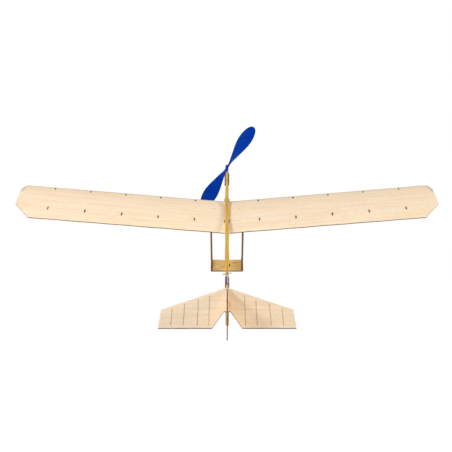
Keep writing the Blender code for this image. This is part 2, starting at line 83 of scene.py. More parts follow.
# Wing skin's section, as shares of the chord and heights over the stick
CHORD = 58 * MM
LE_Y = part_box("wing_skin_right")[1].y
LE_HEIGHT = 2.6 * MM
TE_HEIGHT = 1.2 * MM
CAMBER = 2.7 * MM
CAMBER_PEAK = 0.35
NOSE_DROOP = 0.8 * MM
DROOP_LENGTH = 0.1
SKIN = 1.0 * MM
DIHEDRAL = 0.1
ROOT_GAP = 0.15 * MM
HALF_SPAN = 221 * MM
TIP_CORNER = 0.68
TE_RIPPLE = 0.12 * MM  # the trailing edge's faint wave along the span
RIPPLE_START = 15.5 * MM
RIPPLE_LENGTH = 38.1 * MM
# Tip outline: share of the chord, and distance in from the half span in millimetres
TIP = ((0, 6), (0.02, 4), (0.05, 2.6), (0.09, 1.4), (0.15, 0.5), (0.24, -0.6),
       (TIP_CORNER, 0), (1, 17))
FRONT_TAB = 0.105
FRONT_TAB_LENGTH = 2.6 * MM
REAR_TAB = 0.725
INNER_REAR_TAB = 0.705  # on the saddle and the first ribs
REAR_TAB_LENGTH = 4.0 * MM
PLY = 1.0 * MM
SLOT_PLAY = 0.2 * MM
FRONT_SHADE_WIDTH = 4.2 * MM  # width of the painted shade along the leading edge, where the sheet curves down
PIN_X = 13.5 * MM  # a pinhole in each half, near the root
PIN_SHARE = 0.345
PIN_RADIUS = 0.55 * MM
PIN_FLOOR = 0.15  # level in the sheet, where its top is 0.5
PIN_CUTTER_HEIGHT = 5 * MM
FAR_BELOW = STICK_TOP - 10 * MM  # a slot's cutter runs well past the sheet
FAR_ABOVE = STICK_TOP + 50 * MM

# Engraving and slits in flat plates
ENGRAVED_DEPTH = 0.25 * MM
CUTTER_RISE = 2 * MM  # how far a shallow cutter stands over the plate
GEAR_SLIT_X = (2.2 * MM, 3.4 * MM)
GEAR_SLIT_HALF_LENGTH = 2.4 * MM
TAIL_LINES = ((16.0, -85.2), (26.1, -90.4), (38.3, -95.8), (49.1, -102.1))  # x and front end, mm
TAIL_LINE_MARGIN = 3.7 * MM  # from the trailing edge
TAIL_SLIT_X = (2.05 * MM, 2.5 * MM)
TAIL_SLIT_Y = (-100.4 * MM, -93.6 * MM)

GLUE_LINE = 0.27 * MM  # beside the nose block and at the ends of the gear plates

# Wires, rubber and sleeve
WIRE_RADIUS = 0.4 * MM
HOOK_RADIUS = 1.7 * MM
BENT_END_RISE = 1.5 * MM  # of the shaft's front end over its axis
UPRIGHT_LEAN = 3.8 * MM  # of the rear hook's upright, towards the tail
CROSSBAR_SKEW = 1.1 * MM
RUBBER_END = 1.15 * MM  # half loop's radius round each hook
RUBBER_SPREAD = 1.06 * MM
RUBBER_REAR_Z = STICK_TOP + 4.7 * MM
RUBBER_HALF_THICKNESS = 0.42 * MM
SLEEVE_WALL = 0.5 * MM
PAINTED_HIGHLIGHT_X = 0.45 * MM  # where the painted highlight runs along the sleeve's top, over the hook's wire

# Propeller: the blade's radii, chords, thicknesses and pitch are in millimetres
BLADE_TIP = 62.5
TIP_START = 57.0
BLADE_CHORDS = ((0, 3.6), (4, 3.8), (8, 4.8), (12, 6.7), (20, 10), (30, 14.3), (38, 16.8), (44, 17.2),
                (50, 16), (55, 13.6), (57, 12.2), (59, 10.8), (62.5, 9.6))
ROOT_THICKNESS = 2.6
LEAST_THICKNESS = 0.9
THINNING = 0.05  # for each millimetre of radius
BLADE_CAMBER = 0.06  # share of the chord
PROP_PITCH = 60
PROP_TURN = math.radians(28.9)
HUB_FRONT_Y = NOSE_Y - 1.3 * MM
HUB_LENGTH = 9.9 * MM
HUB_RADIUS = 1.8 * MM
BOSS_REAR_Y = NOSE_Y - 16.3 * MM
BOSS_RADIUS = 1.0 * MM
BORE_RADIUS = 0.5 * MM


def colour(red, green, blue):
    """A colour given as it shows on screen, 0 to 255, as linear light."""
    shown = [value / 255 for value in (red, green, blue)]
    linear = [v / 12.92 if v <= 0.04045 else ((v + 0.055) / 1.055) ** 2.4 for v in shown]
    return (*linear, 1)


# ---------------------------------------------------------------- materials

# The Mix node's colour sockets, which share their names with its sockets of other kinds
MIX_FIRST = 6
MIX_SECOND = 7
MIX_RESULT = 2


def node(tree, kind, inputs=None, **settings):
    """Adds a shader node; inputs are values or the sockets to link from."""
    made = tree.nodes.new("ShaderNode" + kind)
    for key, value in settings.items():
        setattr(made, key, value)
    for key, value in (inputs or {}).items():
        if isinstance(value, bpy.types.NodeSocket):
            tree.links.new(value, made.inputs[key])
        else:
            made.inputs[key].default_value = value
    return made


def new_material(name, roughness=0.6, specular=0.3):
    made = bpy.data.materials.new(name)
    made.use_nodes = True
    shader = made.node_tree.nodes["Principled BSDF"]
    shader.inputs["Roughness"].default_value = roughness
    shader.inputs["Specular IOR Level"].default_value = specular
    return made, made.node_tree, shader


def object_coordinates(tree):
    return node(tree, "TexCoord").outputs["Object"]


def streaks(tree, cycles, detail=3.0, offset=(0.0, 0.0, 0.0), distortion=0.0):
    """Noise stretched along the grain; cycles are per metre along X, Y and Z."""
    stretched = node(tree, "Mapping", {"Vector": object_coordinates(tree), "Location": offset,
                                       "Scale": cycles})
    return node(tree, "TexNoise", {"Vector": stretched.outputs["Vector"], "Scale": 1.0,
                                   "Detail": detail, "Roughness": 0.55,
                                   "Distortion": distortion}).outputs["Fac"]


def ramp(tree, factor, stops):
    """A colour ramp; stops are (place, colour) pairs."""
    made = node(tree, "ValToRGB", {"Fac": factor})
    elements = made.color_ramp.elements
    while len(elements) < len(stops):
        elements.new(0.5)
    for element, (place, stop_colour) in zip(elements, stops):
        element.position = place
        element.color = stop_colour
    return made.outputs["Color"]


def mix(tree, factor, first, second, blend_type="MIX"):
    made = node(tree, "Mix", {"Factor": factor}, data_type="RGBA", blend_type=blend_type)
    for place, value in ((MIX_FIRST, first), (MIX_SECOND, second)):
        socket = made.inputs[place]
        if isinstance(value, bpy.types.NodeSocket):
            tree.links.new(value, socket)
        else:
            socket.default_value = value
    return made.outputs[MIX_RESULT]


def bump(tree, shader, height, strength, distance):
    made = node(tree, "Bump", {"Height": height, "Strength": strength, "Distance": distance})
    tree.links.new(made.outputs["Normal"], shader.inputs["Normal"])


def grain_cycles(axis, along, across):
    """Cycles per metre for a grain that runs along an axis."""
    cycles = [across, across, across]
    cycles["XYZ".index(axis)] = along
    return cycles


def sheet_cycles(axis, along, across):
    """The same with few cycles upwards, so that the wing's rise adds little variation."""
    cycles = grain_cycles(axis, along, across)
    most_upward = 30
    cycles[2] = min(cycles[2], most_upward)
    return cycles


def balsa(name, axis="X", seed=0.0, scorch_y=None, front_shade=False, right_shade=None):
    """Pale balsa: broad soft bands, fine fibres, short pores and a faint fleck."""
    made, tree, shader = new_material(name, roughness=0.75, specular=0.18)
    wide = sheet_cycles(axis, 13, 360)
    fine = sheet_cycles(axis, 40, 1500)
    pore = sheet_cycles(axis, 170, 3000)
    fleck = grain_cycles(axis, 300, 620)
    shift = (seed, 0.3 * seed, 0.0)
    bands = ramp(tree, streaks(tree, wide, 4, shift, 0.3), (
        (0.25, colour(242, 215, 179)), (0.45, colour(249, 224, 192)),
        (0.6, colour(250, 230, 204)), (0.8, colour(247, 220, 189))))
    fibres = ramp(tree, streaks(tree, fine, 3, shift), (
        (0.3, colour(243, 236, 227)), (0.55, colour(255, 255, 255))))
    base = mix(tree, 0.55, bands, fibres, "MULTIPLY")
    flecks = ramp(tree, streaks(tree, fleck, 2, shift), (
        (0.36, colour(245, 241, 234)), (0.5, colour(254, 253, 251)), (0.64, colour(255, 255, 255))))
    base = mix(tree, 0.55, base, flecks, "MULTIPLY")
    pores = ramp(tree, streaks(tree, pore, 2, shift), ((0.66, (0, 0, 0, 1)), (0.75, (1, 1, 1, 1))))
    pore_share = node(tree, "Math", {0: pores, 1: 0.12}, operation="MULTIPLY").outputs[0]
    base = mix(tree, pore_share, base, colour(202, 160, 116))
    # painted shade, darker towards the right half
    if right_shade:
        base = painted_right_shade(tree, base, *right_shade)
    if scorch_y is not None:
        base = scorch_line(tree, base, scorch_y)
    # painted shade along the leading edge and the tip's front corner
    if front_shade:
        base = painted_front_shade(tree, base)
    tree.links.new(base, shader.inputs["Base Color"])
    bump(tree, shader, streaks(tree, fine, 3, shift), 0.35, 0.06 * MM)
    return made


def painted_right_shade(tree, base, left, right):
    """Painted shade: darkens the sheet a little, and slowly more from its left half towards its right
    half.
    """
    along = node(tree, "SeparateXYZ", {"Vector": object_coordinates(tree)}).outputs["X"]
    share = node(tree, "MapRange", {"Value": along, "From Min": 8 * MM, "From Max": 34 * MM,
                                    "To Min": left, "To Max": right}, interpolation_type="SMOOTHSTEP")
    return mix(tree, share.outputs["Result"], base, colour(196, 172, 142))


def painted_front_shade(tree, base):
    """Painted shade: greys the sheet towards its leading edge, where it curves down, by the nearness
    stored in its mesh.
    """
    near = node(tree, "Attribute", attribute_name="front_edge").outputs["Fac"]
    grey = node(tree, "MapRange", {"Value": near, "From Min": 0.0, "From Max": 0.7, "To Max": 0.8})
    return mix(tree, grey.outputs["Result"], base, colour(200, 188, 169))


def scorch_line(tree, base, scorch_y):
    """Browns the sheet beside a laser-cut edge that lies along X."""
    reach = 0.7 * MM
    along = node(tree, "SeparateXYZ", {"Vector": object_coordinates(tree)}).outputs["Y"]
    near = node(tree, "MapRange", {"Value": along, "From Min": scorch_y,
                                   "From Max": scorch_y + reach, "To Min": 0.55, "To Max": 0.0},
                interpolation_type="SMOOTHSTEP")
    return mix(tree, near.outputs["Result"], base, colour(170, 128, 84))


def ply(name, face, dark, axis="Y", seed=0.0, along=22):
    """Plywood face: warm grain with darker latewood lines and a few flecks."""
    made, tree, shader = new_material(name, roughness=0.7, specular=0.05)
    shift = (seed, seed, seed)
    lines = streaks(tree, grain_cycles(axis, along, 620), 4, shift, 0.6)
    base = ramp(tree, lines, ((0.28, dark), (0.5, face), (0.75, mix_colours(face, dark, 0.3))))
    fine = streaks(tree, grain_cycles(axis, 90, 2600), 3, shift)
    base = mix(tree, 0.35, base, ramp(tree, fine, ((0.3, colour(205, 190, 170)),
                                                   (0.6, colour(255, 255, 255)))), "MULTIPLY")
    tree.links.new(base, shader.inputs["Base Color"])
    bump(tree, shader, fine, 0.4, 0.05 * MM)
    return made


def mix_colours(first, second, share):
    return tuple(a + (b - a) * share for a, b in zip(first, second))


def scorched(name, dark, light, seed=0.0):
    """A laser-cut edge: charred fibres in narrow upright stripes."""
    made, tree, shader = new_material(name, roughness=0.9, specular=0.0)
    stripes = streaks(tree, (1100, 1100, 260), 2, (seed, 0, 0))
    tree.links.new(ramp(tree, stripes, ((0.3, dark), (0.7, light))), shader.inputs["Base Color"])
    bump(tree, shader, stripes, 0.15, 0.02 * MM)
    return made


def moulded_plastic():
    """Blue moulded plastic: slow colour drift, faint orange peel and a sheen of its own colour."""
    made, tree, shader = new_material("blue_moulded", roughness=0.38, specular=0.12)
    drift = streaks(tree, (240, 240, 240), 3)
    tree.links.new(ramp(tree, drift, ((0.35, colour(0, 41, 128)), (0.65, colour(0, 52, 147)))),
                   shader.inputs["Base Color"])
    shader.inputs["Specular Tint"].default_value = colour(0, 90, 230)
    bump(tree, shader, streaks(tree, (900, 900, 900), 2), 0.12, 0.04 * MM)
    return made


def shrink_tube_finish():
    """Navy heat-shrunk tube, glossy, with a painted highlight: a pale streak along its top over the
    wire.
    """
    made, tree, shader = new_material("navy_shrink_tube", roughness=0.24, specular=0.8)
    across = node(tree, "SeparateXYZ", {"Vector": object_coordinates(tree)}).outputs["X"]
    from_ridge = node(tree, "Math", {0: across, 1: PAINTED_HIGHLIGHT_X}, operation="SUBTRACT").outputs[0]
    off_centre = node(tree, "Math", {0: from_ridge}, operation="ABSOLUTE").outputs[0]
    # painted highlight: a pale streak along the sleeve's top
    painted_highlight = node(tree, "MapRange", {"Value": off_centre, "From Min": 0.4 * MM, "From Max": 0.8 * MM,
                                    "To Min": 0.72, "To Max": 0.0}, interpolation_type="SMOOTHSTEP")
    drift = streaks(tree, (500, 160, 500), 3)
    navy = ramp(tree, drift, ((0.35, colour(26, 24, 56)), (0.65, colour(44, 42, 72))))
    base = mix(tree, painted_highlight.outputs["Result"], navy, colour(205, 203, 212))
    tree.links.new(base, shader.inputs["Base Color"])
    bump(tree, shader, streaks(tree, (700, 300, 700), 2), 0.15, 0.04 * MM)
    return made


def rubber_finish():
    """Amber latex with a dusty bloom, faint lengthwise streaks and some light through it."""
    made, tree, shader = new_material("amber_latex", roughness=0.48, specular=0.35)
    runs = streaks(tree, (1300, 26, 1300), 3)
    base = ramp(tree, runs, ((0.3, colour(196, 148, 44)), (0.5, colour(216, 172, 64)),
                             (0.72, colour(230, 188, 88))))
    tree.links.new(base, shader.inputs["Base Color"])
    shader.inputs["Subsurface Weight"].default_value = 0.25
    shader.inputs["Subsurface Radius"].default_value = (1.0, 0.5, 0.15)
    shader.inputs["Subsurface Scale"].default_value = 0.6 * MM
    bump(tree, shader, streaks(tree, (2200, 120, 2200), 2), 0.3, 0.05 * MM)
    return made


def metal(name, tint, roughness):
    """Drawn metal with fine scratches along Y."""
    made, tree, shader = new_material(name, roughness=roughness, specular=0.5)
    shader.inputs["Metallic"].default_value = 1.0
    scratches = streaks(tree, grain_cycles("Y", 80, 6000), 3)
    dull = mix_colours(tint, (0.2, 0.2, 0.2, 1), 0.35)
    tree.links.new(ramp(tree, scratches, ((0.3, dull), (0.6, tint))), shader.inputs["Base Color"])
    wear = node(tree, "MapRange", {"Value": scratches, "To Min": roughness - 0.08,
                                   "To Max": roughness + 0.15})
    tree.links.new(wear.outputs["Result"], shader.inputs["Roughness"])
    bump(tree, shader, scratches, 0.2, 0.02 * MM)
    return made


# ---------------------------------------------------------------- mesh helpers


def add_object(name, shape, *finishes):
    mesh = bpy.data.meshes.new(name)
    bmesh.ops.recalc_face_normals(shape, faces=shape.faces)
    shape.to_mesh(mesh)
    shape.free()
    for finish in finishes:
        mesh.materials.append(finish)
    obj = bpy.data.objects.new(name, mesh)
    bpy.context.scene.collection.objects.link(obj)
    return obj


def shade(obj, angle=40):
    obj.data.shade_smooth()
    obj.data.set_sharp_from_angle(angle=math.radians(angle))
    return obj


def apply_modifiers(obj):
    """Bakes the modifiers into the mesh, so that shading is set on the final faces."""
    graph = bpy.context.evaluated_depsgraph_get()
    mesh = bpy.data.meshes.new_from_object(obj.evaluated_get(graph))
    obj.modifiers.clear()
    obj.data = mesh
    return obj


def ease_edges(obj, width):
    change = obj.modifiers.new("eased_edges", "BEVEL")
    change.width = width
    change.segments = 2
    change.limit_method = "ANGLE"
    change.angle_limit = math.radians(35)
    change.use_clamp_overlap = True
    return apply_modifiers(obj)


def cut(obj, cutter):
    change = obj.modifiers.new("cut", "BOOLEAN")
    change.operation = "DIFFERENCE"
    change.object = cutter
    apply_modifiers(obj)
    bpy.data.objects.remove(cutter)
    return obj


def join(obj, other):
    change = obj.modifiers.new("join", "BOOLEAN")
    change.operation = "UNION"
    change.object = other
    apply_modifiers(obj)
    bpy.data.objects.remove(other)
    return obj


def prism_into(shape, outline, offset):
    """Adds a flat-ended solid to a mesh: the outline's points, and the same points moved by offset."""
    near = [shape.verts.new(point) for point in outline]
    far = [shape.verts.new(Vector(point) + Vector(offset)) for point in outline]
    shape.faces.new(near)
    shape.faces.new(reversed(far))
    for i in range(len(outline)):
        after = (i + 1) % len(outline)
        shape.faces.new((near[i], far[i], far[after], near[after]))


def box_into(shape, low, high):
    outline = [(low[0], low[1], low[2]), (high[0], low[1], low[2]), (high[0], high[1], low[2]),
               (low[0], high[1], low[2])]
    prism_into(shape, outline, (0, 0, high[2] - low[2]))


def loft(name, rings, *finishes, closed=False):
    """A tube through rings of equally many points; its ends are capped unless it is closed."""
    shape = bmesh.new()
    rows = [[shape.verts.new(point) for point in ring] for ring in rings]
    count = len(rows[0])
    pairs = list(zip(rows, rows[1:]))
    if closed:
        pairs.append((rows[-1], rows[0]))
    for row, following in pairs:
        for i in range(count):
            after = (i + 1) % count
            shape.faces.new((row[i], row[after], following[after], following[i]))
    if not closed:
        shape.faces.new(rows[0])
        shape.faces.new(rows[-1])
    return add_object(name, shape, *finishes)


def turned(name, profile, finish):
    """A ring turned about the propeller's axis; its profile is a loop of (radius, y) pairs."""
    sides = 48
    rings = []
    for i in range(sides):
        angle = 2 * math.pi * i / sides
        rings.append([Vector((radius * math.cos(angle), y, AXIS_Z + radius * math.sin(angle)))
                      for radius, y in profile])
    return shade(loft(name, rings, finish, closed=True))


def rounded_path(points, radius, steps=5):
    """The same route with each corner turned into a curve."""
    route = [Vector(points[0])]
    for before, corner, after in zip(points, points[1:], points[2:]):
        corner = Vector(corner)
        back = Vector(before) - corner
        on = Vector(after) - corner
        reach = min(radius, 0.45 * back.length, 0.45 * on.length)
        start = corner + back.normalized() * reach
        end = corner + on.normalized() * reach
        for i in range(steps + 1):
            t = i / steps
            route.append((1 - t) ** 2 * start + 2 * t * (1 - t) * corner + t * t * end)
    route.append(Vector(points[-1]))
    return route


def sweep(name, route, section, *finishes, closed=False, up=Vector((0, 0, 1))):
    """Carries a section along a route; section(i) gives its (sideways, upward) points there."""
    rings = []
    count = len(route)
    for i, point in enumerate(route):
        before = route[(i - 1) % count] if closed or i else point
        after = route[(i + 1) % count] if closed or i < count - 1 else point
        along = (after - before).normalized()
        sideways = along.cross(up)
        if sideways.length < 0.2:
            sideways = along.cross(Vector((0, 1, 0)))
        sideways.normalize()
        upward = sideways.cross(along)
        rings.append([point + sideways * a + upward * b for a, b in section(i)])
    return loft(name, rings, *finishes, closed=closed)


def circle(radius, sides=16):
    return [(radius * math.cos(2 * math.pi * i / sides), radius * math.sin(2 * math.pi * i / sides))
            for i in range(sides)]


def rounded_rectangle(half_width, half_height, radius, steps=3, turn=0.0):
    points = []
    for quarter, (side, rise) in enumerate(((1, 1), (-1, 1), (-1, -1), (1, -1))):
        for step in range(steps + 1):
            angle = math.radians(90) * (quarter + step / steps)
            x = side * (half_width - radius) + radius * math.cos(angle)
            y = rise * (half_height - radius) + radius * math.sin(angle)
            points.append((x * math.cos(turn) - y * math.sin(turn),
                           x * math.sin(turn) + y * math.cos(turn)))
    return points


def wire(name, points, radius, finish, bend):
    route = rounded_path(points, bend)
    ring = circle(radius)
    return shade(sweep(name, route, lambda i: ring, finish), 60)


def stands_for(obj, body, slot, *nodes):
    """The piece rides on a body and hides the CAD nodes it stands for; the slot is not used."""
    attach(obj, body)
    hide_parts(*nodes)
    return obj


# ---------------------------------------------------------------- laser-cut wood


def finished_plate(name, flat_axis, finishes, slot, width=0.12 * MM, engraving=None):
    """A CAD plate with its triangles merged, its edges eased and its cut edges scorched.

    The finishes are for the faces, the cut edges and the engraving's floor and walls.
    """
    shape = bmesh.new()
    shape.from_mesh(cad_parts[name].data)
    bmesh.ops.remove_doubles(shape, verts=shape.verts, dist=1e-6)
    bmesh.ops.dissolve_limit(shape, angle_limit=math.radians(1), verts=shape.verts, edges=shape.edges)
    obj = ease_edges(add_object(name + "_cut", shape, *finishes), width)
    if engraving:
        cut(obj, add_object("engraving", engraving, *finishes))
    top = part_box(name)[1].z
    for polygon in obj.data.polygons:
        depth = top - polygon.center.z
        if engraving and 0.3 * ENGRAVED_DEPTH < depth < 1.3 * ENGRAVED_DEPTH:
            polygon.material_index = 2
        elif abs(polygon.normal[flat_axis]) > 0.9:
            polygon.material_index = 0
        else:
            polygon.material_index = 1
    obj.data.shade_flat()
    return stands_for(obj, AIRFRAME, slot, name)


def fill_glue_line(cheek, side, width):
    """Thickens a cheek inwards until it meets the block that it is glued to."""
    middle = sum(vertex.co.x for vertex in cheek.data.vertices) / len(cheek.data.vertices)
    for vertex in cheek.data.vertices:
        if side * (vertex.co.x - middle) < 0:
            vertex.co.x -= side * width


def fill_glue_lines(obj, width):
    """Widens a piece sideways until it meets the pieces that it is glued between."""
    half = max(vertex.co.x for vertex in obj.data.vertices)
    for vertex in obj.data.vertices:
        vertex.co.x *= (half + width) / half


def make_ribs(face, edge):
    for side in ("left", "right"):
        for number in range(1, 6):
            finished_plate(f"wing_rib_{side}_{number}", 0, (face, edge), "scorched_ply")


def make_saddles_and_cheeks(face):
    """Darker cut edges; each cheek also takes up the glue line beside the nose block."""
    edge = scorched("ply_charred_edge", colour(30, 20, 12), colour(66, 46, 26), 0.9)
    for side, word in ((-1, "left"), (1, "right")):
        finished_plate(f"wing_saddle_{word}", 0, (face, edge), "scorched_ply")
        cheek = finished_plate(f"nose_cheek_{word}", 0, (face, edge), "scorched_ply")
        fill_glue_line(cheek, side, GLUE_LINE)


def make_gear_legs():
    face = ply("gear_leg_face", colour(166, 120, 58), colour(126, 88, 38), "Z", 0.2)
    edge = scorched("gear_leg_edge", colour(76, 54, 28), colour(126, 96, 56), 0.4)
    for side in ("left", "right"):
        finished_plate(f"gear_leg_{side}", 0, (face, edge), "scorched_ply")


def make_nose_block():
    face = ply("nose_block_face", colour(232, 182, 96), colour(206, 148, 68), "Y", 0.5)
    finished_plate("nose_block", 2, (face, face), "scorched_ply")


def make_stick():
    side = ply("stick_face", colour(214, 168, 110), colour(180, 128, 74), "Y", 1.1)
    end = ply("stick_end_grain", colour(190, 140, 88), colour(150, 104, 60), "Y", 1.4)
    finished_plate("fuselage_stick", 1, (end, side), "stick_wood", 0.25 * MM)


def make_gear_plates(edge):
    """The skid, with a short burnt slit beside its middle, and the bridge under the stick."""
    face = ply("gear_plate_face", colour(255, 226, 158), colour(196, 146, 82), "X", 0.7, 90)
    bridge = finished_plate("gear_bridge", 2, (face, edge), "scorched_ply")
    fill_glue_lines(bridge, GLUE_LINE)
    low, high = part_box("gear_skid")
    middle = (low.y + high.y) / 2
    slit = bmesh.new()
    box_into(slit, (GEAR_SLIT_X[0], middle - GEAR_SLIT_HALF_LENGTH, high.z - ENGRAVED_DEPTH),
             (GEAR_SLIT_X[1], middle + GEAR_SLIT_HALF_LENGTH, high.z + CUTTER_RISE))
    skid = finished_plate("gear_skid", 2, (face, edge, edge), "scorched_ply", engraving=slit)
    fill_glue_lines(skid, GLUE_LINE)


# ---------------------------------------------------------------- wing skins


def skin_middle(share):
    """Height of the skin's middle at the root over the stick, at a share of the chord."""
    peak = CAMBER_PEAK
    if share < peak:
        rise = (2 * peak * share - share * share) / peak**2
    else:
        rise = (1 - 2 * peak + 2 * peak * share - share * share) / (1 - peak) ** 2
    droop = NOSE_DROOP * max(0.0, 1 - share / DROOP_LENGTH) ** 2
    return LE_HEIGHT + (TE_HEIGHT - LE_HEIGHT) * share + CAMBER * rise - droop


def between(table, at):
    """A value read from (place, value) pairs along straight lines."""
    for (start, low), (end, high) in zip(table, table[1:]):
        if at <= end:
            return low + (high - low) * (at - start) / (end - start)
    return table[-1][1]


def skin_point(side, share, out, level):
    """A point of the skin: out is its distance from the centre, level is 0.5 on top and -0.5 below."""
    ripple = TE_RIPPLE * share**3 * math.sin(2 * math.pi * (out - RIPPLE_START) / RIPPLE_LENGTH)
    height = skin_middle(share) + DIHEDRAL * out + level * SKIN + ripple
    return Vector((side * out, LE_Y - CHORD * share, STICK_TOP + height))


def skin_grid(name, side, top_finish, edge_finish):
    """The bent sheet: rows along the chord and columns along the span, on top and below."""
    rows = 34
    columns = 56
    shares = sorted({(i / rows) ** 1.5 for i in range(rows + 1)} | {TIP_CORNER})
    shape = bmesh.new()
    grids = []
    for level in (0.5, -0.5):
        grid = []
        for share in shares:
            tip = HALF_SPAN - between(TIP, share) * MM
            outs = [ROOT_GAP + (tip - ROOT_GAP) * (1 - (1 - i / columns) ** 1.3)
                    for i in range(columns + 1)]
            grid.append([shape.verts.new(skin_point(side, share, out, level)) for out in outs])
        grids.append(grid)
    top, below = grids
    last = len(shares) - 1
    for grid in grids:
        for j in range(last):
            for i in range(columns):
                shape.faces.new((grid[j][i], grid[j][i + 1], grid[j + 1][i + 1], grid[j + 1][i]))
    border = [(0, i) for i in range(columns)] + [(j, columns) for j in range(last)]
    border += [(last, i) for i in range(columns, 0, -1)] + [(j, 0) for j in range(last, 0, -1)]
    for (j, i), (j2, i2) in zip(border, border[1:] + border[:1]):
        wall = shape.faces.new((top[j][i], top[j2][i2], below[j2][i2], below[j][i]))
        wall.material_index = 1
    return add_object(name, shape, top_finish, edge_finish)


def slot_places():
    """Where each rib's and saddle's tab comes through a half: place across, share of chord, length."""
    ribs = [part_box(f"wing_rib_right_{number}") for number in range(1, 6)]
    rib_places = [(low.x + high.x) / 2 for low, high in ribs]
    low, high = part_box("wing_saddle_right")
    saddle = (low.x + high.x) / 2
    places = [(x, FRONT_TAB, FRONT_TAB_LENGTH) for x in rib_places]
    places += [(x, REAR_TAB, REAR_TAB_LENGTH) for x in rib_places[1:]]
    places += [(x, INNER_REAR_TAB, REAR_TAB_LENGTH) for x in (saddle, rib_places[0])]
    return places


def wing_cutters(side, top, edge):
    """One half's slots, which run right through the sheet, and its shallow pinhole."""
    shape = bmesh.new()
    half = PLY / 2 + SLOT_PLAY
    for x, share, length in slot_places():
        y = LE_Y - CHORD * share
        reach = length / 2 + SLOT_PLAY
        box_into(shape, (side * x - half, y - reach, FAR_BELOW),
                 (side * x + half, y + reach, FAR_ABOVE))
    pin_y = LE_Y - PIN_SHARE * CHORD
    pin_z = skin_point(side, PIN_SHARE, PIN_X, PIN_FLOOR).z
    pin = [(side * PIN_X + a, pin_y + b, pin_z) for a, b in circle(PIN_RADIUS, 12)]
    prism_into(shape, pin, (0, 0, PIN_CUTTER_HEIGHT))
    return add_object("slots", shape, top, edge)


def make_wing(top, edge):
    for side, word in ((-1, "left"), (1, "right")):
        skin = ease_edges(skin_grid(f"wing_sheet_{word}", side, top, edge), 0.15 * MM)
        cut(skin, wing_cutters(side, top, edge))
        mark_cut_faces(skin)
        mark_front_edge(skin)
        shade(skin)
        stands_for(skin, AIRFRAME, "balsa", f"wing_skin_{word}")


def mark_cut_faces(skin):
    """Upright faces, which the laser cut, are scorched; the others are the sheet's own."""
    least_level = 0.75
    for polygon in skin.data.polygons:
        polygon.material_index = 0 if abs(polygon.normal.z) > least_level else 1


def mark_front_edge(skin):
    """Stores how near each point lies to the leading edge or the tip's front corner, 1 on the edge,
    for the painted shade there.
    """
    corner_end = 0.3  # share of the chord behind which the tip counts no more
    nearness = skin.data.attributes.new("front_edge", "FLOAT", "POINT")
    for vertex, item in zip(skin.data.vertices, nearness.data):
        back = LE_Y - vertex.co.y
        share = max(0.0, back / CHORD)
        inward = HALF_SPAN - between(TIP, share) * MM - abs(vertex.co.x)
        if share > corner_end:
            inward = CHORD
        item.value = max(0.0, 1 - min(back, inward) / FRONT_SHADE_WIDTH)


# ---------------------------------------------------------------- tail


def groove_outline(x, rear, front, z, wave):
    """An engraved line, a little wavy, that swells into a dot at each end."""
    steps = 28
    line_half = 0.3 * MM
    dot_swell = 0.35 * MM
    dot_place = 0.6 * MM
    dot_length = 0.55 * MM
    wander = 0.08 * MM
    wander_length = 2.6 * MM
    left = []
    right = []
    for i in range(steps + 1):
        y = rear + (front - rear) * i / steps
        end = min(y - rear, front - y)
        half = line_half + dot_swell * math.exp(-((end - dot_place) / dot_length) ** 2)
        centre = x + wander * math.sin((y - rear) / wander_length + wave)
        left.append((centre - half, y, z))
        right.append((centre + half, y, z))
    return right + left[::-1]


def make_tailplane(face, edge):
    """The tailplane, with four engraved lines on each half and a short slit beside the fin."""
    low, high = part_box("tailplane")
    floor = high.z - ENGRAVED_DEPTH
    grooves = bmesh.new()
    rear = low.y + TAIL_LINE_MARGIN
    for side in (-1, 1):
        for number, (x, front) in enumerate(TAIL_LINES):
            outline = groove_outline(side * x * MM, rear, front * MM, floor, 1.7 * number + side)
            prism_into(grooves, outline, (0, 0, CUTTER_RISE))
    box_into(grooves, (TAIL_SLIT_X[0], TAIL_SLIT_Y[0], floor),
             (TAIL_SLIT_X[1], TAIL_SLIT_Y[1], high.z + CUTTER_RISE))
    engraved = scorched("engraved_balsa", colour(196, 164, 126), colour(222, 192, 154), 0.6)
    finished_plate("tailplane", 2, (face, edge, engraved), "balsa", 0.1 * MM, grooves)


# ---------------------------------------------------------------- propeller and shaft


def blade_chord(radius):
    """Chord at a radius in millimetres: a smooth curve through the chords, closed round at the tip."""
    table = BLADE_CHORDS
    slopes = []
    for i in range(len(table)):
        before = table[max(0, i - 1)]
        after = table[min(len(table) - 1, i + 1)]
        slopes.append((after[1] - before[1]) / (after[0] - before[0]))
    chord = table[-1][1]
    for i in range(len(table) - 1):
        (start, low), (end, high) = table[i], table[i + 1]
        if start <= radius <= end:
            span = end - start
            t = (radius - start) / span
            chord = (low * (1 + 2 * t) * (1 - t) ** 2 + slopes[i] * span * t * (1 - t) ** 2
                     + high * t * t * (3 - 2 * t) + slopes[i + 1] * span * t * t * (t - 1))
    return chord * tip_taper(radius)


def tip_taper(radius):
    """Share of the chord that is left where the blade's end rounds off."""
    if radius <= TIP_START:
        return 1.0
    return math.sqrt(max(0.0004, 1 - ((radius - TIP_START) / (BLADE_TIP - TIP_START)) ** 2))


